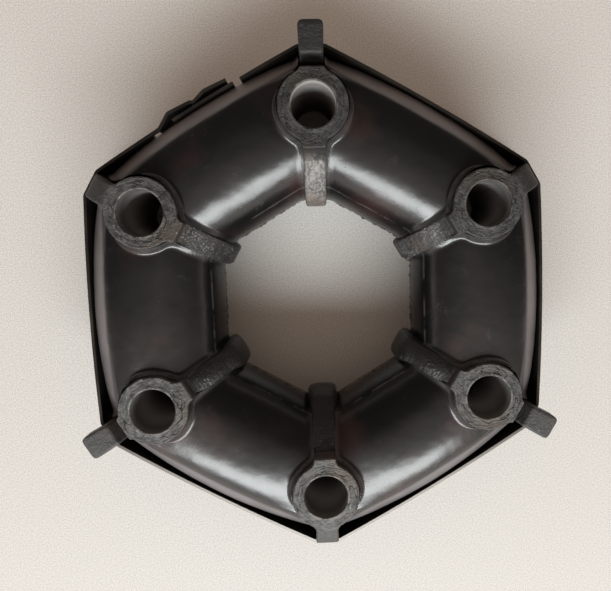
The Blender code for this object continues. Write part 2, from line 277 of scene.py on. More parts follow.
def fold(graph, place):
    """Distance from the axis along the nearest web, and distance beside that web."""
    x, y, _ = graph.split(place)
    radius = hypotenuse(x, y)
    turn = graph.maths("ARCTAN2", y, x)
    folded = graph.maths("FLOORED_MODULO", turn, 2 * HALF_PITCH) - HALF_PITCH
    return radius * graph.maths("COSINE", folded), radius * graph.maths("SINE", folded)


def tint(graph, factor, first, second):
    """A colour between two, mixed by a factor."""
    first, second = [(*c, 1.0) if isinstance(c, tuple) else c for c in (first, second)]
    inputs = {0: factor, 6: first, 7: second}
    return graph.node("ShaderNodeMix", {"data_type": "RGBA"}, inputs, 2)


def finish_material(graph, colour, roughness, metallic, height, relief):
    """Join the colour, roughness, metallic value and relief to one shader."""
    bump = graph.node("ShaderNodeBump", None,
                      {"Height": height, "Distance": relief, "Strength": 1.0})
    shader = graph.node("ShaderNodeBsdfPrincipled", None,
                        {"Base Color": colour, "Roughness": roughness,
                         "Metallic": metallic, "Normal": bump})
    graph.node("ShaderNodeOutputMaterial", None, {"Surface": shader})


print("a web repeats every", round(math.degrees(2 * HALF_PITCH)), "degrees")

# %% [markdown]
# ### Black rubber
# Moulded rubber is smooth and nearly black, so its shape shows in its highlights. A low roughness
# that varies a little keeps them from looking like plastic. Four things break the black: a pale
# painted reflection on the outer shoulder by the strap, a thin line near the centre hole, where the
# mould's core met its shell, patches of dust, and a paler grey next to each casting. A picture
# could hold them, but then it would have to be wrapped round the barrel. Here the mesh stores how
# far each point is from the hole's side, from the casting and from the strap, and the finish reads
# those distances.

# %% Black rubber
COLD_BLACK = (0.0040, 0.0040, 0.0043)
WARM_BLACK = (0.020, 0.0095, 0.0085)
DUST_AND_CORNER_GREY = (0.05, 0.05, 0.052)
PARTING_GREY = (0.07, 0.068, 0.066)
# the pale colour of the outer shoulder is a painted reflection
SHEEN_GREY = (0.105, 0.096, 0.099)
PARTING_DEPTH = 2.6 * MM
PARTING_HALF_WIDTH = 0.3 * MM
PALER_BY_CASTING = (0.4 * MM, 1.6 * MM)
SHEEN_EDGE = (3.6 * MM, 4.8 * MM)
SHEEN_WANDER = 2.0 * MM
RUBBER_RELIEF = 0.1 * MM


def rubber_finish():
    material, graph, place = new_material("black_rubber")
    depth, to_wall, inside = [graph.stored(name) for name in ("depth", "to_wall", "inside")]
    broad = graph.noise(place, 45.0, 3.0)
    ripple = graph.noise(place, 105.0, 2.0)
    cloud = graph.noise(place, 160.0, 4.0, 0.6)
    grain = graph.noise(place, 1400.0, 3.0, 0.6)

    warm = graph.fade(broad, 0.5, 0.72)
    black = tint(graph, warm * 0.8, COLD_BLACK, WARM_BLACK)
    dust = graph.fade(cloud, 0.58, 0.8) * graph.fade(grain, 0.45, 0.7)
    # a paler grey next to each casting, added to the dust patches
    near_wall = 1 - graph.fade(to_wall, *PALER_BY_CASTING)
    dust_and_corner = tint(graph, dust * 0.35 + near_wall * 0.25, black, DUST_AND_CORNER_GREY)
    broken = graph.fade(cloud, 0.42, 0.58)
    parting = graph.band(depth, PARTING_DEPTH, PARTING_HALF_WIDTH) * broken
    lined = tint(graph, parting * 0.5, dust_and_corner, PARTING_GREY)
    # painted reflection: a pale sheen is painted on the outer shoulder by the strap
    shoulder = 1 - graph.fade(inside + (broad - 0.5) * SHEEN_WANDER, *SHEEN_EDGE)
    painted_sheen = shoulder * (0.55 + cloud * 0.6)
    colour = tint(graph, painted_sheen, lined, SHEEN_GREY)

    roughness = 0.12 + broad * 0.16 + cloud * 0.1 + dust * 0.2 + painted_sheen * 0.25
    height = ripple * 2.2 + cloud * 0.6 + grain * 0.12 + parting * 0.4 + near_wall * grain * 0.8
    finish_material(graph, colour, roughness, 0.0, height, RUBBER_RELIEF)
    return material


black_rubber = rubber_finish()
print("made", black_rubber.name)

# %% [markdown]
# ### Cast iron
# The castings come out of the rubber mould with dark, patchy skins. A face was ground or smeared
# in circles round its bolt, an arm was drawn along its length, and black rubber still clings to
# some arms. So one noise is read in circles, another is stretched along the webs, and masks decide
# which of them shows. The masks come first, because the colour, the roughness and the relief all
# share them.

# %% Where a point lies on its casting
BORE_WALL = (BORE_RADIUS + 0.02 * MM, BORE_RADIUS + 0.12 * MM)
SMEAR_PER_RADIAN = 2.5 * MM
STROKE_STRETCH = 0.12


def casting_places(graph, place):
    """Distances and masks that say where a point lies on its casting."""
    level = graph.split(place)[2]
    along, beside = fold(graph, place)
    outward = along - BOLT_RADIUS
    to_bolt = hypotenuse(outward, beside)
    sleeve_end = BOLT_RADIUS + SLEEVE_RADIUS
    values = {name: graph.stored(name) for name in ("film", "shade", "clean", "speckle")}
    return SimpleNamespace(
        level=level, along=along, beside=beside, to_bolt=to_bolt,
        around=graph.maths("ARCTAN2", beside, outward),
        from_end=HALF_LENGTH - graph.maths("ABSOLUTE", level - HALF_LENGTH),
        in_bore=1 - graph.fade(to_bolt, *BORE_WALL),
        on_face=1 - graph.fade(to_bolt, SLEEVE_RADIUS, SLEEVE_RADIUS + 1.0 * MM),
        on_arm=1 - graph.fade(along, STUB_END - 1.0 * MM, STUB_END),
        on_horn=graph.fade(along, sleeve_end, sleeve_end + 1.0 * MM),
        **values)


def casting_noises(graph, place, at):
    """Noises of a cast skin: some read plainly, some in circles, one along the web."""
    circles = graph.join(at.to_bolt, at.around * SMEAR_PER_RADIAN, at.shade)
    lengthwise = graph.join(at.along * STROKE_STRETCH, at.beside, at.level)
    return SimpleNamespace(
        grain=graph.noise(place, 1800.0, 4.0, 0.65),
        pits=graph.noise(place, 900.0, 3.0, 0.6),
        cloud=graph.noise(place, 260.0, 5.0, 0.65),
        broad=graph.noise(place, 75.0, 2.0),
        smear=graph.noise(circles, 1500.0, 3.0, 0.6),
        step=graph.noise(circles, 420.0, 2.0, 0.5),
        strokes=graph.noise(lengthwise, 1500.0, 3.0, 0.6))


print("a bore is", round(2 * BORE_RADIUS / MM, 1), "mm wide in a sleeve of",
      round(2 * SLEEVE_RADIUS / MM, 1), "mm")

# %% [markdown]
# The skin is built up in layers, as paint is: grey, then rust, soot, bright specks where the grain
# is rubbed bare, and a bright rim at the bore. Last it is dimmed on the horns and towards the sides
# of the arms, and thin black cracks are drawn round the faces. The bore is machined steel. One is
# clean at its mouth, with painted shade just below it, and the others have a dark mouth. Further
# in, every bore is painted paler, as painted light on a wall that lies in shade.

# %% Colours of the castings
IRON_DARK = (0.020, 0.019, 0.019)
IRON_PALE = (0.080, 0.077, 0.074)
RUST = (0.065, 0.046, 0.035)
SOOT = (0.010, 0.010, 0.010)
BRIGHT_SPECK = (0.26, 0.25, 0.24)
BORE_RIM = (0.24, 0.235, 0.225)
CRACK_BLACK = (0.006, 0.006, 0.006)
# a bore's colours by depth hold painted light and shade: a pale deep wall, and a dark band below a
# clean mouth
MOUTH_FILM_AND_SHADE = (0.032, 0.030, 0.028)
DEEP_BORE_PAINTED_LIGHT = (0.27, 0.26, 0.255)
BORE_CLEAN = (0.19, 0.183, 0.176)
RUBBER_FILM = (0.010, 0.0095, 0.0095)
SHADE_BELOW_CLEAN_MOUTH = (2.0 * MM, 4.5 * MM)
PAINTED_LIGHT_DEPTHS = (3.0 * MM, 16.0 * MM)


def skin_colour(graph, at, noises, cracks):
    """The cast skin, from its grey up to its cracks."""
    rubbed = noises.strokes + (noises.smear - noises.strokes) * at.on_face
    pale = graph.fade(noises.cloud * 0.5 + rubbed * 0.5, 0.40, 0.60)
    calm = 0.4 + (pale - 0.4) * (0.25 + at.on_face * 0.75 + at.on_arm * 0.65)
    grey = tint(graph, calm, IRON_DARK, IRON_PALE)
    rusty = tint(graph, graph.fade(noises.broad, 0.50, 0.66) * 0.6, grey, RUST)
    sooty = tint(graph, at.speckle * 0.55, rusty, SOOT)
    patches = 0.25 + graph.fade(noises.cloud, 0.42, 0.60) * 0.75
    specks = graph.fade(noises.grain, 0.53, 0.63) * at.speckle * patches
    worn = tint(graph, graph.fade(noises.pits, 0.67, 0.73) * 0.7 + specks, sooty, BRIGHT_SPECK)
    rim = graph.band(at.to_bolt, BORE_RADIUS + 0.35 * MM, 0.4 * MM)
    broken_rim = rim * graph.fade(noises.cloud, 0.46, 0.6)
    edged = tint(graph, broken_rim * 0.5, worn, BORE_RIM)
    # darker towards the sides of the arms and on the horns
    arm_side = graph.fade(graph.maths("ABSOLUTE", at.beside), HALF_WEB * 0.55, HALF_WEB) * at.on_arm
    dim = at.shade * (1 - at.on_horn * 0.25) * (1 - arm_side * 0.45)
    return tint(graph, cracks, graph.scaled(edged, dim), CRACK_BLACK)


def bore_colour(graph, at):
    """Machined steel, by how far the point is from the sleeve's end and how clean the bore is, with
    painted light deep in and painted shade just below a clean mouth.
    """
    # painted light: the deep wall, which lies in shade, is painted paler than the mouth
    steel = tint(graph, graph.fade(at.from_end, *PAINTED_LIGHT_DEPTHS), MOUTH_FILM_AND_SHADE, DEEP_BORE_PAINTED_LIGHT)
    # painted shade: just below a clean mouth the colour darkens
    clean = at.clean * (0.45 + (1 - graph.fade(at.from_end, *SHADE_BELOW_CLEAN_MOUTH)) * 0.55)
    return tint(graph, clean, steel, BORE_CLEAN)


# the depth where the painted light starts inside a bore
print("clean steel starts", round(PAINTED_LIGHT_DEPTHS[0] / MM, 1), "mm inside a bore")

# %% Cast iron
CRACK_RING = 2.0 * MM
TOOL_MARK = 0.9 * MM
IRON_RELIEF = 0.18 * MM


def casting_finish():
    material, graph, place = new_material("cast_iron")
    at = casting_places(graph, place)
    noises = casting_noises(graph, place, at)
    ring = graph.band(at.to_bolt, (BORE_RADIUS + SLEEVE_RADIUS) / 2, CRACK_RING)
    cracks = graph.band(noises.step, 0.5, 0.022) * ring * graph.fade(noises.broad, 0.42, 0.5)
    skin = skin_colour(graph, at, noises, cracks)
    bare = tint(graph, at.in_bore, skin, bore_colour(graph, at))
    filmed = at.film * graph.fade(noises.grain, 0.22, 0.36)
    colour = tint(graph, filmed, bare, RUBBER_FILM)

    dull = 0.45 + noises.cloud * 0.25 - filmed * 0.25
    roughness = graph.maths("MAXIMUM", dull, 0.12)
    metallic = (0.30 - at.in_bore * 0.30) * (1 - filmed)
    tool_marks = graph.maths("SINE", at.level * (math.tau / TOOL_MARK) + noises.cloud * 3)
    cast_skin = noises.grain * 0.7 + noises.pits * 0.8 + noises.smear * 0.9 - cracks * 2
    height = cast_skin * (1 - at.in_bore) + tool_marks * at.in_bore * 0.2
    finish_material(graph, colour, roughness, metallic, height, IRON_RELIEF)
    return material


cast_iron = casting_finish()
print("made", cast_iron.name)

# %% [markdown]
# ### Strap steel
# The strap is spring steel, brown and almost black from its heat treatment. Its edges on the near
# side, towards the lamp, carry a painted highlight in a paler colour. It is flat and plain, so a
# cloudy colour, a fine grain and that painted edge are enough.

# %% Strap steel
STEEL_DARK = (0.014, 0.012, 0.011)
STEEL_BROWN = (0.029, 0.024, 0.020)
STEEL_EDGE_HIGHLIGHT = (0.30, 0.28, 0.26)
HIGHLIT_EDGE = (STRAP_WIDTH / 2 - 0.35 * MM, STRAP_WIDTH / 2 - 0.1 * MM)
HIGHLIT_SIDE = (-60 * MM, -20 * MM)
STEEL_RELIEF = 0.03 * MM


def strap_finish():
    material, graph, place = new_material("strap_steel")
    _, y, z = graph.split(place)
    grain = graph.noise(place, 900.0, 4.0, 0.6)
    cloud = graph.noise(place, 120.0, 4.0, 0.6)
    edge = graph.fade(graph.maths("ABSOLUTE", z - HALF_LENGTH), *HIGHLIT_EDGE)
    # painted highlight: the edges are paler only on the near side, towards the lamp
    rubbed = edge * (1 - graph.fade(y, *HIGHLIT_SIDE))
    brown = tint(graph, graph.fade(cloud, 0.3, 0.7), STEEL_DARK, STEEL_BROWN)
    colour = tint(graph, rubbed * 0.6, brown, STEEL_EDGE_HIGHLIGHT)
    finish_material(graph, colour, 0.30 + cloud * 0.2, 0.7, grain, STEEL_RELIEF)
    return material


strap_steel = strap_finish()
print("made", strap_steel.name)

# %% [markdown]
# ## Outlines
# A casting is where two flat outlines meet: its plan, which has the bolt sleeve, and its side,
# which has the horn and the arm. The rubber's end follows the same plan, one clearance further out.
# The outlines are lists of points worked out from the sizes, so a new size moves every shape that
# follows it.

# %% Plan of a casting
MELT_ALLOWANCE = 0.06 * MM


def arc(centre, radius, start, end, steps):
    """Points on an arc, ends included. Angles are in degrees."""
    points = []
    for i in range(steps + 1):
        angle = math.radians(start + (end - start) * i / steps)
        points.append((centre[0] + radius * math.cos(angle), centre[1] + radius * math.sin(angle)))
    return points


def arm_tip():
    """Where the web's inner tip ends, measured from the bolt's axis."""
    rubber_corner = HOLE_APOTHEM / math.cos(HALF_PITCH) - HALF_WEB * math.tan(HALF_PITCH)
    return rubber_corner - ARM_TIP_PROUD - BOLT_RADIUS


def half_plan(clearance=0.0):
    """Half of the casting's plan, from its inner tip to its horn. The bolt's axis is the origin."""
    past = MELT_ALLOWANCE + clearance
    tip = arm_tip() - past
    end = WEB_END - BOLT_RADIUS + HORN_REACH + past
    fillet_y = HALF_WEB + WEB_FILLET
    fillet_x = math.sqrt((SLEEVE_RADIUS + WEB_FILLET) ** 2 - fillet_y**2)
    touch = math.degrees(math.atan2(fillet_y, fillet_x))
    fillet = WEB_FILLET - clearance
    half_tip = HALF_WEB_TIP + clearance
    half_horn = HALF_HORN + clearance
    points = arc((tip + WEB_CORNER, half_tip - WEB_CORNER), WEB_CORNER, 180, 90, 6)
    points += arc((-fillet_x, fillet_y), fillet, -90, -touch, 10)
    points += arc((0, 0), SLEEVE_RADIUS + clearance, 180 - touch, touch, 60)[1:-1]
    points += arc((fillet_x, fillet_y), fillet, touch - 180, -90, 10)
    points += arc((end - HORN_CORNER, half_horn - HORN_CORNER), HORN_CORNER, 90, 0, 6)
    return points


print("points on half a plan:", len(half_plan()))

# %% [markdown]
# The side outline follows the rubber on its inner edge. The rubber's section is a superellipse,
# which is an ellipse whose power is not quite 2, so the arm's edge is one too, and stands a little
# proud of it.

# %% Side of a casting
def arm_curve(stub_end, steps=24):
    """The web's inner edge, which follows the rubber's rounded section and stands proud of it."""
    middle = (HOLE_APOTHEM + BLOCK_OUTER_END) / 2 / math.cos(HALF_PITCH) - BOLT_RADIUS
    half_width = middle - arm_tip()
    half_height = BLOCK_HALF_HEIGHT - BLOCK_NECK + ARM_PROUD
    last = math.acos(min(1.0, ((middle - stub_end) / half_width) ** (INNER_ROUNDNESS / 2)))
    points = []
    for i in range(-steps, steps + 1):
        angle = last * i / steps
        x = middle - half_width * math.cos(angle) ** (2 / INNER_ROUNDNESS)
        z = half_height * math.copysign(abs(math.sin(angle)) ** (2 / INNER_ROUNDNESS), angle)
        points.append((x, z))
    return points


def casting_side():
    """The casting from the side, x away from the coupling's axis and z along the bolt, horn up."""
    stub = SLEEVE_RADIUS + WEB_STUB
    end = WEB_END - BOLT_RADIUS
    horn_end = end + HORN_REACH
    horn_top = HALF_LENGTH - HORN_TOP_DROP
    horn_start = horn_end - HORN_TOP_LENGTH
    strap_edge = STRAP_WIDTH / 2 + HORN_STRAP_CLEARANCE
    slope_end = horn_start - HORN_SLOPE_LENGTH
    saddle = HALF_LENGTH - SADDLE_DROP
    saddle_in = SLEEVE_RADIUS + SADDLE_START
    points = arm_curve(-stub)
    points += [(-stub, HALF_LENGTH), (saddle_in, HALF_LENGTH)]
    points += [(saddle_in + SADDLE_DRAFT, saddle), (slope_end - SADDLE_DRAFT, saddle)]
    points += [(slope_end, horn_top - HORN_SLOPE_DROP), (horn_start, horn_top)]
    points += arc((horn_end - HORN_ROUND, horn_top - HORN_ROUND), HORN_ROUND, 90, 0, 5)
    points += [(horn_end, strap_edge), (end, strap_edge)]
    points += arc((end - WEB_END_ROUND, WEB_END_ROUND - HALF_LENGTH), WEB_END_ROUND, 0, -90, 9)
    points += [(-stub, -HALF_LENGTH)]
    return points


print("points on a side:", len(casting_side()))

# %% [markdown]
# ## One casting
# A sand casting has no sharp edge and no perfectly flat face. So the two outlines are cut with each
# other, the edges are bevelled, and a voxel remesh melts the result into one even skin of small
# faces, which a later step can roughen. The bore is machined, so it is cut last and stays crisp.

# %% Outlines made solid
WELD = 0.01 * MM


def link(name, data):
    obj = bpy.data.objects.new(name, data)
    bpy.context.scene.collection.objects.link(obj)
    return obj


def evaluated_mesh(obj):
    """The object's mesh with its modifiers applied and its place kept."""
    bpy.context.view_layer.update()
    graph = bpy.context.evaluated_depsgraph_get()
    mesh = bpy.data.meshes.new_from_object(obj.evaluated_get(graph))
    mesh.transform(obj.matrix_world)
    return mesh


def flat_curve(name, points, half_depth=0.0, closed=True):
    """A flat curve through points, filled and thickened if it is closed."""
    curve = bpy.data.curves.new(name, "CURVE")
    curve.dimensions = "2D" if closed else "3D"
    if closed:
        curve.fill_mode = "BOTH"
        curve.extrude = half_depth
    spline = curve.splines.new("POLY")
    spline.points.add(len(points) - 1)
    for target, point in zip(spline.points, points):
        target.co = (point[0], point[1], 0.0, 1.0)
    spline.use_cyclic_u = closed
    return link(name, curve)


def solid_outline(name, points, half_depth):
    """A closed outline made a solid mesh."""
    drawn = flat_curve(name + "_outline", points, half_depth)
    mesh = evaluated_mesh(drawn)
    bpy.data.objects.remove(drawn, do_unlink=True)
    shape = bmesh.new()
    shape.from_mesh(mesh)
    bmesh.ops.remove_doubles(shape, verts=shape.verts, dist=WELD)
    bmesh.ops.recalc_face_normals(shape, faces=shape.faces)
    shape.to_mesh(mesh)
    shape.free()
    return link(name, mesh)


print("points closer than", round(WELD / MM, 2), "mm are welded")

# %% [markdown]
# The order of the steps matters. The bevel comes before the remesh, so that the corners melt
# evenly, and the bore comes last. The remesh and the smoothing eat a little off the ends, so the
# plan is drawn that much longer.

# %% Build one casting
BEVELLED_ABOVE = math.radians(40)
SKIN_VOXEL = 0.42 * MM
BORE_FACETS = 96


def cut(obj, operation, other):
    modifier = obj.modifiers.new(other.name, "BOOLEAN")
    modifier.operation = operation
    modifier.solver = "EXACT"
    modifier.object = other


def turned(name, profile, facets):
    """A profile of (radius, z), from top to bottom, turned about Z."""
    points = [(radius, 0.0, z) for radius, z in profile]
    edges = [(i, i + 1) for i in range(len(profile) - 1)]
    mesh = bpy.data.meshes.new(name)
    mesh.from_pydata(points, edges, [])
    obj = link(name, mesh)
    screw = obj.modifiers.new("turn", "SCREW")
    screw.steps = facets
    screw.render_steps = facets
    screw.use_merge_vertices = True
    screw.merge_threshold = WELD
    return obj


def bore_cutter():
    """A pin that cuts the bore and widens it at both ends for the chamfers."""
    past = HALF_LENGTH + BORE_CHAMFER
    upper = [(0, past), (BORE_RADIUS + 2 * BORE_CHAMFER, past),
             (BORE_RADIUS, HALF_LENGTH - BORE_CHAMFER)]
    return turned("bore", upper + [(r, -z) for r, z in reversed(upper)], BORE_FACETS)


def casting_mesh():
    half = half_plan()
    plan = solid_outline("plan", half + [(x, -y) for x, y in reversed(half)], 2 * HALF_LENGTH)
    side = solid_outline("side", casting_side(), 2 * SLEEVE_RADIUS)
    side.matrix_world = Matrix.Rotation(math.pi / 2, 4, "X")
    cut(side, "INTERSECT", plan)
    edges = side.modifiers.new("edges", "BEVEL")
    edges.width = CAST_EDGE
    edges.segments = 2
    edges.limit_method = "ANGLE"
    edges.angle_limit = BEVELLED_ABOVE
    skin = side.modifiers.new("skin", "REMESH")
    skin.mode = "VOXEL"
    skin.voxel_size = SKIN_VOXEL
    skin.use_smooth_shade = True
    melt = side.modifiers.new("melt", "SMOOTH")
    melt.factor = 0.5
    melt.iterations = 2
    bore = bore_cutter()
    cut(side, "DIFFERENCE", bore)
    mesh = evaluated_mesh(side)
    for helper in (plan, side, bore):
        bpy.data.objects.remove(helper, do_unlink=True)
    return mesh


one_casting = link("one_casting", casting_mesh())
print("faces in one casting:", len(one_casting.data.polygons))

# %% [markdown]
# ## Six castings
# The ring repeats one casting six times, every other one turned over. A Geometry Nodes tree does
# the turning, and roughens each copy with noise read at its own place, so that no two are alike.
# It also stores on each point what the finish needs: the rubber film, the shade, the specks and
# how clean the bore is. Copies made by hand would all carry the same bumps.

# %% Helpers for trees that make shapes
def shape_tree(name, inputs):
    """A Geometry Nodes tree with named inputs, its graph, its geometry and its input wires."""
    tree = bpy.data.node_groups.new(name, "GeometryNodeTree")
    tree.interface.new_socket("Geometry", in_out="INPUT", socket_type="NodeSocketGeometry")
    tree.interface.new_socket("Geometry", in_out="OUTPUT", socket_type="NodeSocketGeometry")
    graph = Graph(tree)
    for label, kind in inputs.items():
        tree.interface.new_socket(label, in_out="INPUT", socket_type="NodeSocket" + kind)
    entry = graph.node("NodeGroupInput", output="Geometry")
    wires = {label: graph.other(entry, label) for label in inputs}
    return tree, graph, entry, wires


def transformed(graph, geometry, values):
    return graph.node("GeometryNodeTransform", None, {"Geometry": geometry, **values})


def marked(graph, geometry, values):
    """Store named values on each point, for the finish to read."""
    for name, value in values.items():
        geometry = graph.node("GeometryNodeStoreNamedAttribute", None,
                              {"Geometry": geometry, "Name": name, "Value": value})
    return geometry


def close_tree(graph, geometry, material):
    """The end of every tree: real meshes, smooth, with their material."""
    real = graph.node("GeometryNodeRealizeInstances", None, {"Geometry": geometry})
    smooth = graph.node("GeometryNodeSetShadeSmooth", None, {"Geometry": real})
    dressed = graph.node("GeometryNodeSetMaterial", None,
                         {"Geometry": smooth, "Material": material})
    graph.node("NodeGroupOutput", None, {"Geometry": dressed})


def grown(tree, name, mesh, values):
    """Run a tree on a mesh with these input values, and return the result as a plain object."""
    obj = link(name, mesh)
    modifier = obj.modifiers.new(tree.name, "NODES")
    modifier.node_group = tree
    for item in tree.interface.items_tree:
        if item.in_out == "INPUT" and item.name in values:
            modifier[item.identifier] = values[item.name]
    result = evaluated_mesh(obj)
    result.name = name
    obj.modifiers.remove(modifier)
    obj.data = result
    return obj


print("a tree ends in real meshes, smooth, with a material")

# %% [markdown]
# Noise that pushed the skin outwards would leave the solid's size, so pits only sink. The rubber
# film swells a bare arm instead, most of all at its tip, and the bore's own wall stays crisp.

# %% A tree that places and roughens
CRISP_TO_ROUGH = (BORE_RADIUS + 0.2 * MM, BORE_RADIUS + 1.5 * MM)
FILM_START = (STUB_END - 0.8 * MM, STUB_END - 0.1 * MM)
ARM_SHADE_START = (STUB_END - 2.6 * MM, STUB_END - 0.1 * MM)
KNOB_LENGTH = (1.0 * MM, 4.5 * MM)
KNOB_HEIGHT = 1.1 * MM
FILM_HEIGHT = 0.25 * MM
FILMED_ARM_ROUND = 0.9 * MM


def skin_offset(graph, place, along, beside, film, roughness):
    """How far each point of the skin moves along its normal: pits sink, and the film swells."""
    fine = graph.noise(place, 700.0, 2.0)
    broad = graph.noise(place, 180.0, 1.0)
    tip = BOLT_RADIUS + arm_tip()
    knob = 1 - graph.fade(along, tip + KNOB_LENGTH[0], tip + KNOB_LENGTH[1])
    rounded = (beside / HALF_WEB) ** 2 * film * FILMED_ARM_ROUND
    sunk = (fine * 0.4 + broad * 0.6) * roughness * (1 - film) + rounded
    swollen = film * ((1 + fine) * FILM_HEIGHT + knob * KNOB_HEIGHT)
    normal = graph.node("GeometryNodeInputNormal")
    facing = graph.maths("ABSOLUTE", graph.split(normal)[2])
    crisp_bore = graph.fade(hypotenuse(along - BOLT_RADIUS, beside), *CRISP_TO_ROUGH)
    amount = (swollen - sunk * (0.1 + facing * 0.9)) * crisp_bore
    return graph.scaled(normal, amount)


def casting_tree():
    labels = ("Turn", "Flip", "Roughness", "Film", "Shade", "Arm shade", "Speckle", "Clean")
    tree, graph, entry, wires = shape_tree("place_and_roughen", dict.fromkeys(labels, "Float"))
    flipped = transformed(graph, entry, {"Rotation": graph.join(x=wires["Flip"])})
    moved = transformed(graph, flipped, {"Translation": (BOLT_RADIUS, 0.0, 0.0)})
    placed = transformed(graph, moved, {"Rotation": graph.join(z=wires["Turn"]),
                                        "Translation": (0.0, 0.0, HALF_LENGTH)})
    place = graph.node("GeometryNodeInputPosition")
    along, beside = fold(graph, place)
    on_arm = 1 - graph.fade(along, *FILM_START)
    patchy = graph.fade(graph.noise(place, 180.0, 1.0) + wires["Film"], 0.95, 1.1)
    film = on_arm * patchy
    arm_shade = 1 - graph.fade(along, *ARM_SHADE_START)
    shade = wires["Shade"] + arm_shade * (wires["Arm shade"] - wires["Shade"])
    kept = marked(graph, placed, {"film": film, "shade": shade,
                                  "speckle": on_arm * wires["Speckle"], "clean": wires["Clean"]})
    offset = skin_offset(graph, place, along, beside, film, wires["Roughness"])
    rough = graph.node("GeometryNodeSetPosition", None, {"Geometry": kept, "Offset": offset})
    close_tree(graph, rough, cast_iron)
    return tree


casting_nodes = casting_tree()
print("nodes in the tree:", len(casting_nodes.nodes))

# %% [markdown]
# The six castings have worn in their own ways, and a table says how, clockwise from the top one.
# Film is how much rubber clings to the arm, from none to all of it. The shades dim or brighten the
# skin and the arm. Speckle is bright grain on a bare arm, and Clean is how bare a bore's mouth is.

# %% Make the castings
CAST_ROUGHNESS = 0.4 * MM
WEAR = {
    "Film": (0.0, 0.3, 1.0, 1.0, 1.0, 0.1),
    "Shade": (0.42, 0.52, 0.85, 0.95, 0.90, 0.70),
    "Arm shade": (2.3, 0.85, 0.8, 0.8, 0.8, 0.52),
    "Speckle": (0.05, 0.6, 0.0, 0.0, 0.0, 1.0),
    "Clean": (1.0, 0.1, 0.1, 0.1, 0.1, 0.05)}

castings = []
for index in range(INSERTS):
    name = f"casting_{index + 1}"
    turn = math.pi / 2 - 2 * HALF_PITCH * index
    values = {"Turn": turn, "Flip": math.pi * (index % 2), "Roughness": CAST_ROUGHNESS}
    values.update({label: row[index] for label, row in WEAR.items()})
    piece = grown(casting_nodes, name, one_casting.data.copy(), values)
    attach(piece, "root")
    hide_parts(f"cast_insert_{index + 1}")
    castings.append(piece)
bpy.data.objects.remove(one_casting, do_unlink=True)
print("castings:", len(castings))

# %% [markdown]
# ## Rubber blocks
# A block is a barrel that runs from one casting to the next and wraps its ends round the sleeves.
# Its surface follows a rule, so a Geometry Nodes tree bends a flat grid into it: one way of the
# grid goes round the section, the other way goes from wall to wall. The wall is a curve taken from
# the casting's plan, and the grid is read against it. Cutting a barrel with the castings would give
# the same shape with ragged faces at the cut, where the rubber's lips need even ones.

# %% The wall that a block ends on
def wall_points():
    """The casting's wall in a block's own plan, from its outer depth to its inner one."""
    cosine, sine = math.cos(HALF_PITCH), math.sin(HALF_PITCH)
    points = []
    for x, y in half_plan(BOND):
        out = BOLT_RADIUS + x
        points.append((out * cosine + y * sine, out * sine - y * cosine))
    inside = [p for p in points if HOLE_APOTHEM < p[0] < BLOCK_OUTER_END]
    before = points[points.index(inside[0]) - 1]
    after = points[points.index(inside[-1]) + 1]
    ends = []
    for one, two, depth in ((before, inside[0], HOLE_APOTHEM),
                            (inside[-1], after, BLOCK_OUTER_END)):
        share = (depth - one[0]) / (two[0] - one[0])
        ends.append((depth, one[1] + share * (two[1] - one[1])))
    return [ends[1], *reversed(inside), ends[0]]


wall = flat_curve("wall", wall_points(), closed=False)
print("points on the wall:", len(wall_points()))

# %% [markdown]
# Across the grid, the angle goes once round the section. Along it, the share goes from 0 in the
# block's middle to 1 at each wall, and the last few rows close the end like a lid, inside the bond.
# At each share, the section lies part of the way between the free barrel and the wall's own curve.

# %% From the grid to a barrel
AROUND = 144
ALONG = 130
CAP_ROWS = 4
CAP_REACH = 1 + 2 * CAP_ROWS / (ALONG - 2 * CAP_ROWS)
WALL_CROWDING = 1.7


def read_grid(graph, grid):
    """What a point of the flat grid stands for on the block."""
    across, along, _ = graph.split(graph.other(grid, "UV Map"))
    row = (along * 2 - 1) * CAP_REACH
    from_middle = graph.maths("ABSOLUTE", row)
    reach = graph.maths("MINIMUM", from_middle, 1.0)
    return SimpleNamespace(
        angle=across * math.tau,
        side=graph.maths("SIGN", row),
        share=1 - (1 - reach) ** WALL_CROWDING,
        closing=graph.maths("MAXIMUM", from_middle - 1, 0.0) / (CAP_REACH - 1))


def roundness(outer_half):
    """The superellipse's power, which differs between the block's two halves."""
    return INNER_ROUNDNESS + outer_half * (OUTER_ROUNDNESS - INNER_ROUNDNESS)


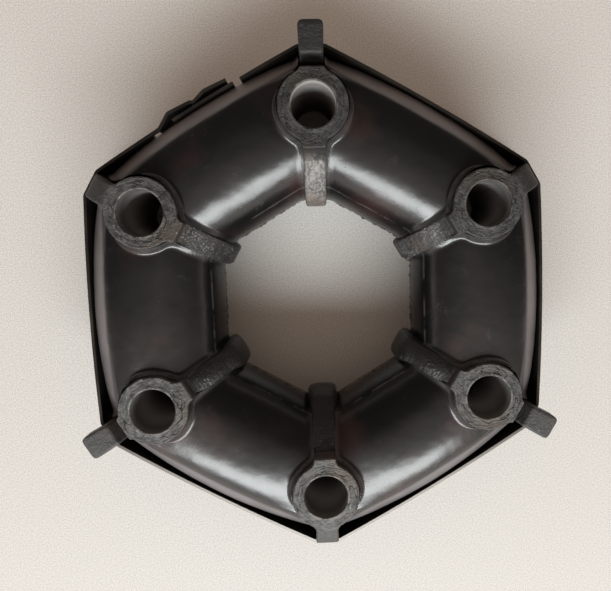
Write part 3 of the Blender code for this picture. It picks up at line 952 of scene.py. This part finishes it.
def barrel(graph, grid, wall_object):
    """The smooth block: depth from the axis, distance along the side, and level."""
    share = grid.share
    cosine = graph.maths("COSINE", grid.angle)
    power = roundness(graph.maths("GREATER_THAN", cosine, 0.0))
    swing = graph.signed_power(cosine, 2 / power)
    middle_depth = HOLE_APOTHEM + (swing + 1) * ((BLOCK_OUTER - HOLE_APOTHEM) / 2)
    curve = graph.node("GeometryNodeObjectInfo", None, {"Object": wall_object}, "Geometry")
    sample = graph.node("GeometryNodeSampleCurve", {"mode": "FACTOR"},
                        {"Curves": curve, "Factor": (1 - swing) / 2}, "Position")
    wall_x, wall_y, _ = graph.split(sample)
    bulge = BLOCK_OUTER - BLOCK_OUTER_END
    outer = BLOCK_OUTER - bulge * share * share
    lean = (swing + 1) * 0.5 * bulge * share * (1 - share)
    depth = middle_depth + (wall_x - middle_depth) * share + lean

    depth_share = (depth - HOLE_APOTHEM) / (outer - HOLE_APOTHEM)
    offset = graph.maths("MINIMUM", graph.maths("ABSOLUTE", depth_share * 2 - 1), 1.0)
    power_here = roundness(graph.maths("GREATER_THAN", depth_share, 0.5))
    crown = (1 - offset**power_here) ** (1 / power_here)
    half_height = BLOCK_HALF_HEIGHT - BLOCK_NECK * share * share
    up = graph.maths("SIGN", graph.maths("ROUND", graph.maths("SINE", grid.angle) * 100))
    return SimpleNamespace(
        depth=depth, outer=outer, half_height=half_height,
        along=wall_y * share * grid.side, to_wall=wall_y * (1 - share),
        level=half_height * crown * up)


print("grid points in a block:", (AROUND + 1) * ALONG)

# %% [markdown]
# Real rubber isn't that smooth. It creeps up the sleeves in a ragged lip, waves a little, lies
# pressed flat by the strap, and has a torn flash where the mould's halves met in the centre hole.
# All four are small moves of the same points, so the mesh stays closed. The noise is read at a
# place that shifts with the block's turn, so the six blocks differ and yet come out the same in
# every run.

# %% Lips, waves and flash
LIP_REACH = (SLEEVE_RADIUS + 0.8 * MM, SLEEVE_RADIUS + 3.5 * MM)
WAVE_HEIGHT = 0.3 * MM
FLASH_HEIGHT = 0.55 * MM
FLASH_HALF_WIDTH = 2.2 * math.tau / AROUND
SEAM_WELD = 0.004 * MM
SHIFT_PER_RADIAN = 3.0


def lip_swell(graph, block, here, wires):
    """How much larger the section is near the castings, as a share of its height."""
    ragged = graph.noise(here, 420.0, 3.0, 0.6)
    beside_bolt = graph.maths("ABSOLUTE", block.along) - BOLT_RADIUS * math.sin(HALF_PITCH)
    before_bolt = block.depth - BOLT_RADIUS * math.cos(HALF_PITCH)
    by_sleeve = 1 - graph.fade(hypotenuse(beside_bolt, before_bolt), *LIP_REACH)
    hollow = graph.maths("MAXIMUM", 1 - block.to_wall / wires["Lip width"], 0.0)
    even_lip = hollow * hollow * wires["Lip height"]
    lip = even_lip * (0.5 + by_sleeve * 0.7) * (0.6 + ragged * 0.8)
    wave = (graph.noise(here, 60.0, 1.0) - 0.5) * WAVE_HEIGHT
    return 1 + (lip + wave * (1 - hollow)) / block.half_height


def flash_depth(graph, grid, here):
    """How far the torn flash reaches into the centre hole. It ends before the walls."""
    tatter = graph.noise(here, 700.0, 3.0, 0.65)
    torn = graph.band(grid.angle, math.pi, FLASH_HALF_WIDTH) * graph.fade(tatter, 0.46, 0.70)
    return torn * FLASH_HEIGHT * (1 - grid.share**8)


def block_tree():
    kinds = {"Turn": "Float", "Wall": "Object", "Lip height": "Float", "Lip width": "Float"}
    tree, graph, _, wires = shape_tree("rubber_block", kinds)
    flat = graph.node("GeometryNodeMeshGrid", None,
                      {"Size X": 1.0, "Size Y": 1.0,
                       "Vertices X": AROUND + 1, "Vertices Y": ALONG})
    grid = read_grid(graph, flat)
    block = barrel(graph, grid, wires["Wall"])
    shift = wires["Turn"] * SHIFT_PER_RADIAN
    here = graph.join(block.depth, block.along + shift, block.level)
    swell = lip_swell(graph, block, here, wires)
    flat_out = STRAP_CHORD - TOUCH + (1 - grid.share * grid.share) * STRAP_BOW
    wide = HOLE_APOTHEM + (block.outer - HOLE_APOTHEM) / 2
    swollen = wide + (block.depth - wide) * swell
    pressed = graph.maths("MINIMUM", swollen, flat_out) - flash_depth(graph, grid, here)
    depth = pressed + (block.depth - pressed) * grid.closing
    level = block.level * swell * (1 - grid.closing)
    bent = graph.node("GeometryNodeSetPosition", None,
                      {"Geometry": flat, "Position": graph.join(depth, block.along, level)})
    kept = marked(graph, bent, {"depth": block.depth - HOLE_APOTHEM, "to_wall": block.to_wall,
                                "inside": flat_out - pressed})
    sealed = graph.node("GeometryNodeMergeByDistance", None,
                        {"Geometry": kept, "Distance": SEAM_WELD})
    placed = transformed(graph, sealed, {"Rotation": graph.join(z=wires["Turn"]),
                                         "Translation": (0.0, 0.0, HALF_LENGTH)})
    close_tree(graph, placed, black_rubber)
    return tree


block_nodes = block_tree()
print("nodes in the tree:", len(block_nodes.nodes))

# %% [markdown]
# The tree makes its own grid, so it starts from an empty mesh. Each block is turned to its side of
# the hexagon before it becomes plain, and the sign of its volume tells whether its faces point
# outwards. A closed block has no open edges.

# %% Make the blocks
LIP_HEIGHT = 1.5 * MM
LIP_WIDTH = 2.2 * MM


def volume_and_open_edges(mesh):
    shape = bmesh.new()
    shape.from_mesh(mesh)
    volume = shape.calc_volume(signed=True)
    open_edges = sum(not edge.is_manifold for edge in shape.edges)
    shape.free()
    return volume, open_edges


blocks = []
for index in range(INSERTS):
    name = f"rubber_{index + 1}"
    turn = math.pi / 2 - HALF_PITCH * (2 * index + 1)
    values = {"Turn": turn, "Wall": wall, "Lip height": LIP_HEIGHT, "Lip width": LIP_WIDTH}
    piece = grown(block_nodes, name, bpy.data.meshes.new(name), values)
    if volume_and_open_edges(piece.data)[0] < 0:
        piece.data.flip_normals()
    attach(piece, "root")
    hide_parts(f"rubber_block_{index + 1}")
    blocks.append(piece)
bpy.data.objects.remove(wall, do_unlink=True)
print("volume and open edges of a block:", volume_and_open_edges(blocks[0].data))

# %% [markdown]
# ## The strap
# The strap's solid already has its bends, hooks and slots, so it stays and takes the steel finish.

# %% Dress the strap
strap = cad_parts["retaining_strap"]
strap.data.materials.clear()
strap.data.materials.append(strap_steel)
print("strap faces:", len(strap.data.polygons))

# %% [markdown]
# ## Floor
# The coupling lies on a plain pale floor with a faint grain. It is far wider than the coupling, so
# that no edge of it comes close from any side. It is stage, which means no part of the model.

# %% Floor
FLOOR_DARK = (0.30, 0.291, 0.281)
FLOOR_PALE = (0.495, 0.481, 0.465)
FLOOR_REACH = 3.0
FLOOR_RELIEF = 0.05 * MM


def floor_finish():
    material, graph, place = new_material("floor")
    grain = graph.noise(place, 2400.0, 3.0, 0.7)
    colour = tint(graph, graph.fade(grain, 0.30, 0.70), FLOOR_DARK, FLOOR_PALE)
    finish_material(graph, colour, 0.75, 0.0, grain, FLOOR_RELIEF)
    return material


corners = [(-FLOOR_REACH, -FLOOR_REACH, 0), (FLOOR_REACH, -FLOOR_REACH, 0),
           (FLOOR_REACH, FLOOR_REACH, 0), (-FLOOR_REACH, FLOOR_REACH, 0)]
floor_mesh = bpy.data.meshes.new("floor")
floor_mesh.from_pydata(corners, [], [(0, 1, 2, 3)])
floor_mesh.materials.append(floor_finish())
floor = link("floor", floor_mesh)
print("floor width, m:", 2 * FLOOR_REACH)

# %% [markdown]
# ## Light
# One broad lamp stands on the near side, like a window, and draws the long highlights on the
# rubber. The sky is the rest of the room, a little brighter round its horizon. Smooth rubber
# mirrors it, so shiny rays see a room that is pale on the window's side, and darker on the far side
# and to both sides. All other rays get warm, even light. The camera itself sees a plain backdrop.

# %% Lights
ROOM_LEVEL = 0.55
DARKEST, PALEST = 0.07, 0.8
WARM_LIGHT = (1.10, 0.86, 0.70)
MIRRORED_LIGHT = (1.0, 0.89, 0.81)
BACKDROP = (0.66, 0.65, 0.64, 1.0)
WINDOW_PLACE = (-0.04, -0.84, 0.75)
WINDOW_AIM = (0, 0, 0.02)
WINDOW_SIZE = (1.3, 0.42)
WINDOW_POWER = 28.0
WINDOW_COLOUR = (0.95, 1.0, 1.0)


def add_lamp(name, place, target, size, power, colour):
    data = bpy.data.lights.new(name, "AREA")
    data.shape = "RECTANGLE"
    data.size, data.size_y = size
    data.energy = power
    data.color = colour
    lamp = link(name, data)
    lamp.location = place
    lamp.rotation_euler = (Vector(target) - Vector(place)).to_track_quat("-Z", "Y").to_euler()


def sky_tree(tree):
    """The room's light: mirrored by shiny rubber, even for the rest, plain behind it all."""
    graph = Graph(tree)
    sideways, away, up = graph.split(graph.node("ShaderNodeTexCoord", output="Generated"))
    glossy = graph.node("ShaderNodeLightPath", output="Is Glossy Ray")
    room = 0.56 - away * 1.2 - graph.maths("ABSOLUTE", sideways) * 0.45
    mirrored = graph.maths("MINIMUM", graph.maths("MAXIMUM", room, DARKEST), PALEST)
    horizon = (1 - graph.fade(up, 0.10, 0.30)) * (1 - away * 0.5)
    level = ROOM_LEVEL + (mirrored - ROOM_LEVEL) * glossy
    colour = tint(graph, glossy, WARM_LIGHT, MIRRORED_LIGHT)
    sky = graph.node("ShaderNodeBackground", None, {"Color": colour, "Strength": level + horizon})
    pale = graph.node("ShaderNodeBackground", None, {"Color": BACKDROP, "Strength": 1.0})
    looked_at = graph.other(glossy, "Is Camera Ray")
    both = graph.node("ShaderNodeMixShader", None, {0: looked_at, 1: sky, 2: pale})
    graph.node("ShaderNodeOutputWorld", None, {"Surface": both})


add_lamp("window", WINDOW_PLACE, WINDOW_AIM, WINDOW_SIZE, WINDOW_POWER, WINDOW_COLOUR)
world = bpy.data.worlds.new("sky")
world.use_nodes = True
sky_tree(world.node_tree)
bpy.context.scene.world = world
bpy.context.scene.view_settings.view_transform = "Standard"

# %% [markdown]
